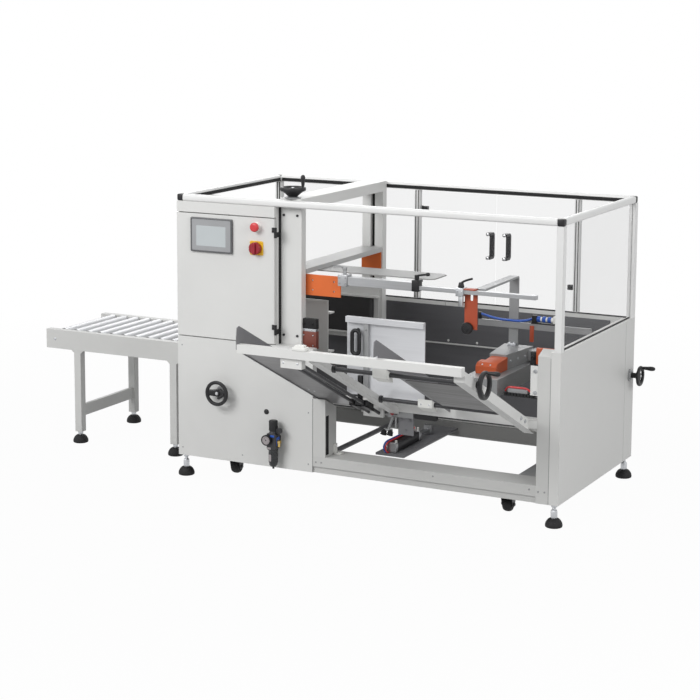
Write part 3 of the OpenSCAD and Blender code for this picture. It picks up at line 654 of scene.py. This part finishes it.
bearings = Shape().lathe(LIFT_AT, "z", [(14, 0), (40, 0), (40, 5), (26, 7), (23, 8), (14, 8)], 36, closed=True)
for dx in (-30, 30):
    bearings.bolt((LIFT_AT[0] + dx, LIFT_AT[1], 1415), "z", 4)
for at, w in ((FRONT_AT, "-y"), (END_AT, "x")):
    bearings.lathe(at, w, [(14, 0), (30, 0), (30, 4), (24, 6), (22, 12), (14, 12)], 36, closed=True)
piece("wheel_bearings", bearings, "greysteel")

# Gantry: post bolts and slot covers; rear wall: a dark sheet on its inner face that paints the shade there, and its
# lip

gb = Shape()
for z in (1330, 750):
    for x in (565, 638):
        gb.socket((x, 55, z), "-y", 6)
piece("gantry_bolts", gb, "darksteel")
cover = Shape().box(590.5, 612.5, 962, 973, 487, 1344, 1.5)
cover.box(590.5, 612.5, 61.5, 72, 487, 1344, 1.5)
piece("slot_covers", cover, "rubber")

# A dark sheet on the rear wall's inner face paints the shade inside the machine.
shade_sheet = Shape()
for x0, x1 in ((104, 540), (664, 1888)):
    shade_sheet.box(x0, x1, 977.6, 979.8, 192, 786, 1)
piece("rear_wall_painted_shade", shade_sheet, "shade_and_dark_steel")
lip = Shape().box(664, 1888, 966, 979.8, 587, 593, 1.2)
for x in range(700, 1880, 160):
    lip.bolt((x, 977.6, 606), "-y", 4)
piece("rear_sheet_lip", lip, "frame")

# Feet and casters

pads = Shape()
stems = Shape()
spots = [(x, y, 105) for x in (28, 1972) for y in (26, 994)]
spots += [(x, y, 60) for x in (-812, -220) for y in (320, 830)]
for x, y, top in spots:
    pads.lathe((x, y, 0), "z", [(0, 0), (36, 0), (39, 2), (40, 6), (40, 12), (38, 20), (33, 29), (27, 36), (21, 40),
                                (0, 40)], 40)
    stems.lathe((x, y, 0), "z", [(0, 38), (8, 38), (8, top), (0, top)], 20)
    stems.thread((x, y, 40), "z", 8.6, 2.6, top - 44, n=14, depth=1.1)
    if top > 100:
        stems.lathe((x, y, 0), "z", [(0, 39), (15, 39), (16.5, 44), (16.5, 72), (14, 78), (0, 78)], 6)
    stems.lathe((x, y, 0), "z", [(0, top - 12), (15, top - 12), (15, top - 2), (0, top - 2)], 6)
piece("foot_pads", pads, "rubber", ["levelling_feet"])
piece("foot_stems", stems, "zinc")

forks = Shape()
tyres = Shape()
for x in (245, 1700):
    for y in (150, 870):
        forks.box(x - 50, x + 50, y - 75, y + 75, 99, 105, 1.5)
        forks.lathe((x, y, 0), "z", [(0, 84), (30, 84), (32, 86), (32, 94), (28, 99), (0, 99)], 32)
        for sx in (-1, 1):
            a = x + sx * 26
            cheek = [(y - 30, 92), (y - 14, 34), (y - 4, 27), (y + 6, 28), (y + 14, 36), (y + 30, 92)]
            forks.prism(cheek, "x", a - 2, a + 2, 0.6, u="y")
            forks.bolt((x + sx * 28, y, 40), "x" if sx > 0 else "-x", 7)
            for sy in (-1, 1):
                forks.bolt((x + sx * 38, y + sy * 60, 99), "-z", 5)
        tread = [(16, 22), (17, 20), (26, 21), (31, 17), (34.4, 9)]
        section = [(0, -22)] + [(r, -h) for r, h in tread] + [(35, 0)] + tread[::-1] + [(0, 22)]
        tyres.lathe((x, y, 40), "x", section, 40)
piece("caster_forks", forks, "darksteel", ["casters"])
piece("caster_wheels", tyres, "rubber")

# Guard: rounded rails and caps, seals, rear door screws

RAIL, RAIL_Z = 33, 1388.5
BODY_X, BODY_Y = 2000, 1020

rails = Shape()
for y in (RAIL / 2, BODY_Y - RAIL / 2):
    rails.pad((RAIL, y, RAIL_Z), "x", RAIL, RAIL, BODY_X - 2 * RAIL, r=9, b=0.3, u="y")
for x in (RAIL / 2, BODY_X - RAIL / 2):
    rails.pad((x, RAIL, RAIL_Z), "y", RAIL, RAIL, BODY_Y - 2 * RAIL, r=9, b=0.3, u="x")
piece("guard_rails_rounded", rails, "white", ["guard_top_rails"])
caps = Shape()
for x in (0, BODY_X - RAIL):
    for y in (0, BODY_Y - RAIL):
        caps.box(x + 0.2, x + 32.8, y + 0.2, y + 32.8, 1372, 1404.8, 8)
piece("guard_caps_rounded", caps, "black", ["guard_corner_caps"])
gasket = Shape().box(32.4, 35, 40, 980, 1376, 1393, 0.8)
gasket.box(40, 1960, 985.2, 987.6, 1376, 1393, 0.8)
gasket.box(1965.2, 1967.6, 40, 980, 1374, 1380, 0.8)
for x0, x1 in ((8, 14), (21, 27)):
    gasket.box(x0, x1, 985.4, 987.5, 812, 1370, 0.7)
for x0 in (822, 836, 1693, 1706):
    gasket.box(x0, x0 + 4, 985.4, 987.5, 812, 1370, 0.7)
gasket.box(36, 1962, 984, 1000, 805.2, 810, 1)
gasket.box(1976, 1984, 36, 984, 805.2, 810, 1)
piece("guard_seals", gasket, "rubber")
for side, x in (("left", 1220), ("right", 1310)):
    grips = Shape()
    for z in (1043, 1164):
        grips.lathe((x, 1006, z), "-y", [(0, 5), (8, 5), (8, 7), (6, 8.4), (0, 8.6)], 20)
    for z in (915, 1262):
        for dx in (18, 31):
            hx = 843 + dx if side == "left" else 1687 - dx
            grips.screw((hx, 1027, z + 12.6), "y", 3.5)
    piece("rear_door_screws_" + side, grips, "steel", body="rear_leaf_" + side)

# Conveyor: channel bolts, leg brackets, roller caps

ROLLERS, ROLLER_X, ROLLER_PITCH = 12, -925, 75

ends = Shape()
for x in (-953, -54):
    for y, w in ((300, "-y"), (850, "y")):
        ends.bolt((x, y, 547), w, 5)
piece("channel_bolts", ends, "zinc")
flare = Shape()
for x in (-832, -240):
    for y in (300.6, 845.4):
        gusset = [(x - 18, 497.2), (x + 58, 497.2), (x + 42, 482), (x - 2, 482)]
        flare.prism(gusset, "-y", -y - 4, -y, 0.8, u="x")
piece("leg_brackets", flare, "frame")
ROLLER_END = [(0, -2), (24.6, -2), (24.9, 0.3), (22, 1.6), (14, 1.2), (13, 2.6), (8, 2.8), (0, 2.8)]
for i in range(ROLLERS):
    cap = Shape()
    for y, w in ((345, "-y"), (805, "y")):
        cap.lathe((ROLLER_X + ROLLER_PITCH * i, y, 575), w, ROLLER_END, 28)
    piece("roller_caps_%02d" % (i + 1), cap, "rim", body="roller_%02d" % (i + 1))

# Blank magazine: bolts, slide block, screw threads

mb = Shape()
for x in (1005, 1075):
    mb.screw((x, -750, 803), "-y", 5)
for y in (-92, -42):
    mb.bolt((1850, y, zp(y) - 5), "x", 6)
for z in (711, 613):
    mb.bolt((1878, 2, z), "-y", 6)
for x in (1390, 1430):
    mb.screw((x, -160, zp(-160) - 10), "-y", 4)
for x, y in ((766, -586), (818, -162), (831, -134)):
    mb.screw((x, y, zp(y)), -NORMAL, 5)
piece("magazine_bolts", mb, "zinc")
sb = Shape().box(1056, 1121, -768, -728, 864, 880, 4)
sb.box(1066, 1111, -762, -734, 880, 888, 3)
piece("bar_slide_block", sb, "ivory")
thread = Shape()
for y in (-600, -130):
    thread.thread((1180, y, zp(y)), "x", 10.3, 8, 610, n=16, depth=1.4)
    thread.lathe((1170, y, zp(y)), "x", [(0, 0), (17, 0), (17, 10), (14, 12), (0, 12)], 28)
piece("cross_screw_threads", thread, "darksteel")

# Guide bar clamps, stop fittings

clamps = Shape().box(843, 893, 74, 126, 1006, 1062, 4)
clamps.lathe((868, 100, 1060), "z", [(0, 0), (9, 0), (9, 24), (7, 26), (0, 26)], 20)
for z in (1020, 1048):
    for x in (852, 884):
        clamps.socket((x, 74, z), "-y", 4)
piece("guide_bar_clamp", clamps, "alu")
levers = Shape().tube([(868, 100, 1088), (866, 98, 1094), (850, 92, 1098), (815, 84, 1096)], 4.5, 12)
levers.lathe((868, 100, 1080), "z", [(0, 0), (11, 0), (12, 8), (9, 16), (0, 17)], 20)
piece("clamp_lever", levers, "greysteel")
ratchet = Shape().box(1226, 1262, 78, 122, 1010, 1064, 4)
ratchet.lathe((1244, 100, 1062), "z", [(0, 0), (10, 0), (11, 10), (11, 22), (8, 25), (0, 25)], 22)
ratchet.tube([(1244, 100, 1082), (1256, 97, 1086), (1276, 92, 1090), (1298, 86, 1094)], 5, 12)
ratchet.lathe((1298, 86, 1094), (0.92, -0.25, 0.15), [(0, -2), (6, -2), (8, 6), (8, 16), (5, 20), (0, 20)], 18)
piece("clamp_ratchet", ratchet, "black")
stopfit = Shape()
stopfit.lathe((1497, 114.8, 856), "-y", [(0, 0), (26, 0), (28, 3), (28, 15), (25, 19), (12, 20), (10, 23),
                                         (0, 23)], 36)
stopfit.lathe((1468, 100, 1042), "z", [(0, 0), (14, 0), (15, 8), (12, 20), (10, 27), (0, 29)], 24)
stopfit.tube(soft_path([(1468, 100, 1066), (1484, 98, 1076), (1504, 96, 1084), (1526, 94, 1091)], 6), 5, 12)
piece("stop_wheel_and_ratchet", stopfit, "black")
stopclamp = Shape().box(1449, 1488, 77, 123, 1006, 1046, 4)
stopclamp.lathe((1468, 100, 958), "z", [(0, 0), (11, 0), (12, 4), (12, 44), (10, 50), (0, 50)], 20)
for x in (1458, 1480):
    stopclamp.socket((x, 77, 1030), "-y", 4)
piece("stop_clamp", stopclamp, "zinc")

# Stop strip, motor cover, sensor arm and cable chain

strip = Shape().window((1512, 120, 946.5), "-y", (63.6, 192.6), (14, 46), (3, 60), 5, r=1.5, hr=6.5, u="x")
strip.box(1480.2, 1543.8, 82.4, 120, 1037, 1043, 2)
strip.box(1648, 1668, 510, 516, 737, 815, 1.2)
piece("stop_strip", strip, "burnt", ["blank_stop"])
wide = [(150.2, 640.2), (289.8, 640.2), (289.8, 699.8), (168, 692), (150.2, 676)]
hood = Shape().prism(wide, "x", 1546, 1627.8, 3.0, u="y")
step = [(150.4, 640.4), (216, 640.4), (216, 694), (168, 691), (150.4, 675.6)]
hood.prism(step, "x", 1523.2, 1560, 3.0, u="y")
piece("motor_cover", hood, "rust")
arm = Shape().box(1825.2, 1951.8, 140.2, 157.8, 712.2, 789.8, 5)
piece("sensor_arm", arm, "rust")
eye = Shape().box(1799, 1825.4, 138, 160, 706, 771, 4)
eye.lathe((1812, 138, 745), "-y", [(0, 0), (9, 0), (9, 5), (7, 7), (5, 7), (4, 4), (0, 4)], 24)
piece("sensor_head", eye, "black")
bits = Shape()
for x in (1556, 1596):
    bits.screw((x, 156, 684), (0, -0.7, 0.7), 4)
for x in (1546, 1567):
    bits.bolt((x, 516, 722), "z", 5)
bits.box(1536, 1577, 506, 530, 710, 722, 2)
for y in (330, 400, 470):
    bits.bolt((1621 + 0.1192 * (y - 290), y, 674), (1, -0.12, 0), 5)
piece("platform_bolts", bits, "zinc")
links = Shape()
for k in range(9):
    links.box(1686 + 16 * k, 1701 + 16 * k, 104, 142, 560, 577, 3)
links.box(1828, 1952, 110, 136, 558, 566, 2)
piece("cable_chain", links, "black")
piece("chain_cover", Shape().box(1702, 1800, 108, 138, 576.5, 596, 4), "bezel")
path = [(1688, 118, 581), (1696, 117, 594), (1710, 116, 600.5), (1750, 116, 601), (1786, 117, 600.5),
        (1806, 118, 592), (1822, 120, 579)]
lead = Shape().tube(soft_path(path, 6), 5, 10)
piece("chain_red_tube", lead, "red")

# Valve terminal on the cross rail

valve = Shape().box(1652, 1790, 514, 532, 825, 831, 1)
valve.box(1656, 1682, 512, 533, 831, 866, 3)
valve.box(1378, 1394, 516, 531, 825, 858, 2)
piece("valve_block", valve, "black")
plugs = Shape()
rings = Shape()
for k in range(3):
    x = 1682 + 27 * k
    plugs.lathe((x, 522, 849), "x", [(0, 0), (13, 0), (14.5, 2), (14.5, 15), (13, 17), (0, 17)], 24)
    rings.lathe((x + 17, 522, 849), "x", [(0, 0), (11, 0), (11.5, 2), (11.5, 8), (11, 10), (0, 10)], 24)
path = [(1386, 851), (1420, 844), (1452, 837), (1490, 832), (1531, 831), (1583, 831), (1630, 838), (1657, 848)]
plugs.tube(soft_path([(x, 523, z) for x, z in path]), 6, 12)
rings.box(1762, 1790, 512, 533, 833, 868, 4)
piece("valve_fittings", plugs, "blue")
piece("valve_rings", rings, "ivory")

# Lower cylinder with its tubes

CYL_X, CYL_Z = 1015, 186
TIES = [(CYL_X + 18.5 * dx, CYL_Z + 18.5 * dz) for dx in (-1, 1) for dz in (-1, 1)]

barrel = Shape().pad((CYL_X, 344, CYL_Z), "y", 44, 44, 252, r=10, b=1, u="x")
for x, z in TIES:
    barrel.tube([(x, 322, z), (x, 618, z)], 4, 12)
piece("cylinder_barrel", barrel, "darksteel", ["lower_cylinder"])
heads = Shape()
for y in (320.2, 594):
    heads.pad((CYL_X, y, CYL_Z), "y", 50, 50, 26, r=6, b=2, u="x")
    heads.box(990.2, 1039.8, y + 8, y + 22, 159, 167, 1.5)
heads.lathe((CYL_X, 620, CYL_Z), "y", [(0, 0), (14, 0), (14, 6), (9, 8), (9, 122), (0, 122)], 28)
heads.box(995.2, 1034.8, 740, 769.8, 159, 208.8, 3)
for x, z in TIES:
    heads.bolt((x, 322.5, z), "-y", 4, washer=False)
piece("cylinder_heads", heads, "alu")
ports = Shape()
for x in (1006, 1025):
    ports.lathe((x, 606, 210), "z", [(0, 0), (7, 0), (7, 8), (6, 9), (6, 16), (4, 18), (0, 18)], 16)
ports.lathe((1034, 334, 210), "z", [(0, 0), (7, 0), (7, 10), (5, 12), (0, 12)], 6)
piece("cylinder_ports", ports, "ivory")
for key, slot, dx, dz in (("red", "red_plastic", 0, 0), ("blue", "dark_steel", -9, 3)):
    path = [(1006, 604, 225), (1005, 580, 220), (1004, 540, 216), (1004, 360, 216), (1002, 322, 215), (996, 306, 205),
            (992, 301, 187)]
    path = [(x + dx, y, z + dz) for x, y, z in path] + [(996 + dx, 306, 169), (1002 + dx, 316, 160)]
    run = Shape().tube(soft_path(path, 8), 4.4, 10)
    piece("cylinder_%s_tube" % key, run, key)

# Transfer arm under the cross beam, and the plates on the base

grip = Shape().tube([(985, 100, 424), (1060, 100, 415), (1150, 100, 408), (1244, 100, 409)], 8, 16)
grip.box(1104, 1130, 86, 113, 398, 433, 3)
grip.box(1156, 1240, 84, 113, 404, 433, 3)
grip.box(976, 1000, 86, 113, 412, 433, 3)
grip.tube([(1128, 98, 402), (1118, 98, 374), (1106, 98, 340)], 6.5, 14)
grip.tube([(1144, 98, 402), (1144, 98, 348)], 5, 14)
grip.tube([(1082, 98, 334), (1124, 98, 336)], 6, 14)
piece("transfer_arm", grip, "greysteel")
cups = Shape()
for x in (1086, 1119):
    cups.lathe((x, 98, 336), (-0.25, -0.1, -1), [(0, 0), (8, 0), (9, 6), (14, 10), (12, 14), (15, 18), (13, 22),
                                                 (16.5, 27), (14, 28), (0, 20)], 24)
cups.box(1242, 1358, 88, 112, 404, 433, 3)
piece("transfer_cups", cups, "black")
web = Shape().box(1152, 1232, 105, 111, 316, 406, 1.5)
for x, z in ((1170, 390), (1214, 390), (1192, 340)):
    web.bolt((x, 105, z), "-y", 5)
piece("transfer_web", web, "slate")
cap = Shape().lathe((1133, 86, 421), "-y", [(0, 0), (8, 0), (9, 3), (9, 10), (6, 13), (0, 14)], 24)
piece("transfer_cap", cap, "darkred")

slab = Shape().box(939.4, 1092.6, 299.4, 950, 147.4, 159.5, 1.5)
for y in (470, 880):
    for x in (955, 1078):
        slab.bolt((x, y, 159.4), "z", 5)
piece("carrier_plate", slab, "slate")
cross = Shape().box(775.4, 804.6, 149, 950, 172.4, 185.5, 1.5)
piece("cross_bar", cross, "shade_and_dark_steel")

# Drive blocks beside the front gantry post, and the follower's stiffener

# The drive cover's red-brown is painted shade on orange paint.
piece("drive_cover", Shape().box(649.4, 733, 68, 96, 690, 775, 3), "painted_shade_orange")
drive = Shape().box(649.4, 733, 68, 96, 787, 836, 3)
for x in (668, 714):
    drive.socket((x, 68, 812), "-y", 5)
piece("drive_block", drive, "rubber")
spacer = Shape().box(649.4, 730, 70, 94, 774, 788, 2)
for x, z in ((666, 708), (716, 708), (666, 757), (716, 757)):
    spacer.socket((x, 68, z), "-y", 3.5)
piece("drive_plate", spacer, "zinc")
bar = Shape().box(1056.4, 1081.6, -76.8, -62.2, 528, 869.6, 1.5)
for z in (560, 840):
    bar.socket((1069, -76.8, z), "-y", 4)
piece("follower_stiffener", bar, "greysteel", body="follower")

# Follower: loop handle on two feet, and the carriage that runs on the rods

LOOP_X, LOOP_Y, LOOP_Z, LOOP_R, LOOP_H = 1023, -90, 781, 18.5, 37
start = (LOOP_X + LOOP_R, LOOP_Y, LOOP_Z)
path = [start]
for k in range(49):
    t = 2 * math.pi * k / 48
    rise = LOOP_H if k < 25 else -LOOP_H
    path.append((LOOP_X + LOOP_R * math.cos(t), LOOP_Y, LOOP_Z + LOOP_R * math.sin(t) + rise))
path.append(start)
pull = Shape().tube(path, 9.3, 14)
for dz in (-1, 1):
    foot_at = (LOOP_X, -62.2, LOOP_Z + dz * (LOOP_R + LOOP_H - 2))
    pull.lathe(foot_at, "-y", [(0, 0), (9, 0), (9, 2), (7.5, 4), (7.5, 28), (0, 28)], 20)
for x0, x1, h0, h1 in ((998, 1008, -40, -8), (1028, 1062, -40, -8), (1082, 1092, -40, -8),
                       (998, 1092, -14, -8), (998, 1092, -40, -35)):
    section = [(y, zp(y) + h) for y, h in ((-105, h0), (-35, h0), (-35, h1), (-105, h1))]
    pull.prism(section, "x", x0, x1, 0.8, u="y")
pull.box(1028, 1050, -78, -62, zp(-60) - 20, zp(-60) + 120, 2)
piece("follower_pull", pull, "black", ["follower_handle"], body="follower")

# Base plate between the right rails, post foot bracket and a dark strip in the post's slot that paints the shade
# inside it

piece("right_base_plate", Shape().box(1747, 1893, 149, 520, 177, 186, 1.5), "greysteel")

foot = Shape().box(819.2, 862, 78, 112, 186, 193, 1.5)
foot.box(819.2, 827, 78, 112, 186, 234, 1.5)
for y in (87, 103):
    foot.bolt((850, y, 193), "z", 5)
foot.bolt((827, 95, 218), "x", 5)
piece("post_foot_bracket", foot, "ivory")
# Black strip in the post's slot: painted shade inside the recess.
slot_shade = Shape().box(804, 818.4, 6.6, 37.4, 194.6, 385.4, 1.5)
piece("post_recess_shade", slot_shade, "rubber")

# Stage, light and camera

scene = bpy.context.scene
scene.view_settings.view_transform = "Standard"


def camera_mask(nt):
    """One for rays that show the background: seen directly, mirrored or through glass."""
    path = node(nt, "LightPath")
    a, b = node(nt, "Math", "MAXIMUM"), node(nt, "Math", "MAXIMUM")
    nt.links.new(path.outputs["Is Camera Ray"], a.inputs[0])
    nt.links.new(path.outputs["Is Glossy Ray"], a.inputs[1])
    nt.links.new(a.outputs[0], b.inputs[0])
    nt.links.new(path.outputs["Is Transmission Ray"], b.inputs[1])
    return b.outputs[0]


def blend(nt, factor, low, high, output):
    """Mixes two shaders by a factor into an output."""
    join = node(nt, "MixShader")
    for source, into in zip((factor, low.outputs[0], high.outputs[0]), join.inputs):
        nt.links.new(source, into)
    nt.links.new(join.outputs[0], nt.nodes[output].inputs["Surface"])


world = bpy.data.worlds.new("studio")
scene.world = world
world.use_nodes = True
nt = world.node_tree
sky = nt.nodes["Background"]
sky.inputs["Color"].default_value = (0.98, 0.99, 1.0, 1)
sky.inputs["Strength"].default_value = 0.42
white = node(nt, "Background", Color=(1, 1, 1, 1), Strength=1.0)
blend(nt, camera_mask(nt), sky, white, "World Output")

floor_mat = bpy.data.materials.new("pale_floor")
floor_mat.use_nodes = True
nt = floor_mat.node_tree
nt.nodes.remove(nt.nodes["Principled BSDF"])
matt = node(nt, "BsdfDiffuse", Color=(0.4, 0.4, 0.4, 1))
glow = node(nt, "Emission", Color=(1, 1, 1, 1), Strength=1.0)
spot = node(nt, "NewGeometry")
far = node(nt, "VectorMath", "LENGTH")
nt.links.new(spot.outputs["Position"], far.inputs[0])
near = node(nt, "MapRange", From_Min=2.0, From_Max=5.0, To_Min=0.97, To_Max=1.0)
nt.links.new(far.outputs["Value"], near.inputs["Value"])
part = node(nt, "Math", "MULTIPLY")
nt.links.new(camera_mask(nt), part.inputs[0])
nt.links.new(near.outputs["Result"], part.inputs[1])
blend(nt, part.outputs[0], matt, glow, "Material Output")
disc = bpy.data.meshes.new("floor")
FLOOR_R, FLOOR_Z = 40, -0.0005
ring = [(FLOOR_R * math.cos(t), FLOOR_R * math.sin(t), FLOOR_Z) for t in around(64)]
disc.from_pydata(ring, [], [tuple(range(len(ring)))])
disc.materials.append(floor_mat)
floor = bpy.data.objects.new("floor", disc)
scene.collection.objects.link(floor)

MIDDLE = Vector((0, 0, 0.7))


def lamp(name, at, size, watts):
    """Area light that faces the middle of the machine."""
    data = bpy.data.lights.new(name, "AREA")
    data.shape = "RECTANGLE"
    data.size, data.size_y = size
    data.energy = watts
    o = bpy.data.objects.new(name, data)
    o.location = at
    o.rotation_mode = "QUATERNION"
    o.rotation_quaternion = (MIDDLE - Vector(at)).to_track_quat("-Z", "Y")
    scene.collection.objects.link(o)


lamp("key", (-2.5, -6.0, 4.6), (4, 3), 320)
lamp("fill", (6.5, -2.5, 3.2), (4, 3), 142)
lamp("top", (0, 0.5, 6.0), (5, 4), 40)
lamp("back", (-3.0, 6.5, 4.0), (4, 3), 105)

# Camera fitted to the body edges in the photo
cam_data = bpy.data.cameras.new("photo")
cam_data.sensor_width = 36.0
cam_data.lens = 97.716
cam_data.shift_y = -0.1266
cam_data.clip_end = 200.0
cam = bpy.data.objects.new("photo", cam_data)
yaw, pitch, roll = math.radians(26.853), math.radians(8.682), math.radians(0.298)
right = Vector((math.cos(yaw), math.sin(yaw), 0))
back = Vector((math.sin(yaw) * math.cos(pitch), -math.cos(yaw) * math.cos(pitch), math.sin(pitch)))
up = back.cross(right)
r2 = right * math.cos(roll) + up * math.sin(roll)
u2 = up * math.cos(roll) - right * math.sin(roll)
pose = Matrix((r2, u2, back)).transposed().to_4x4()
pose.translation = Vector((4.3372, -7.9569, 2.4776))
cam.matrix_world = pose
scene.collection.objects.link(cam)
scene.camera = cam
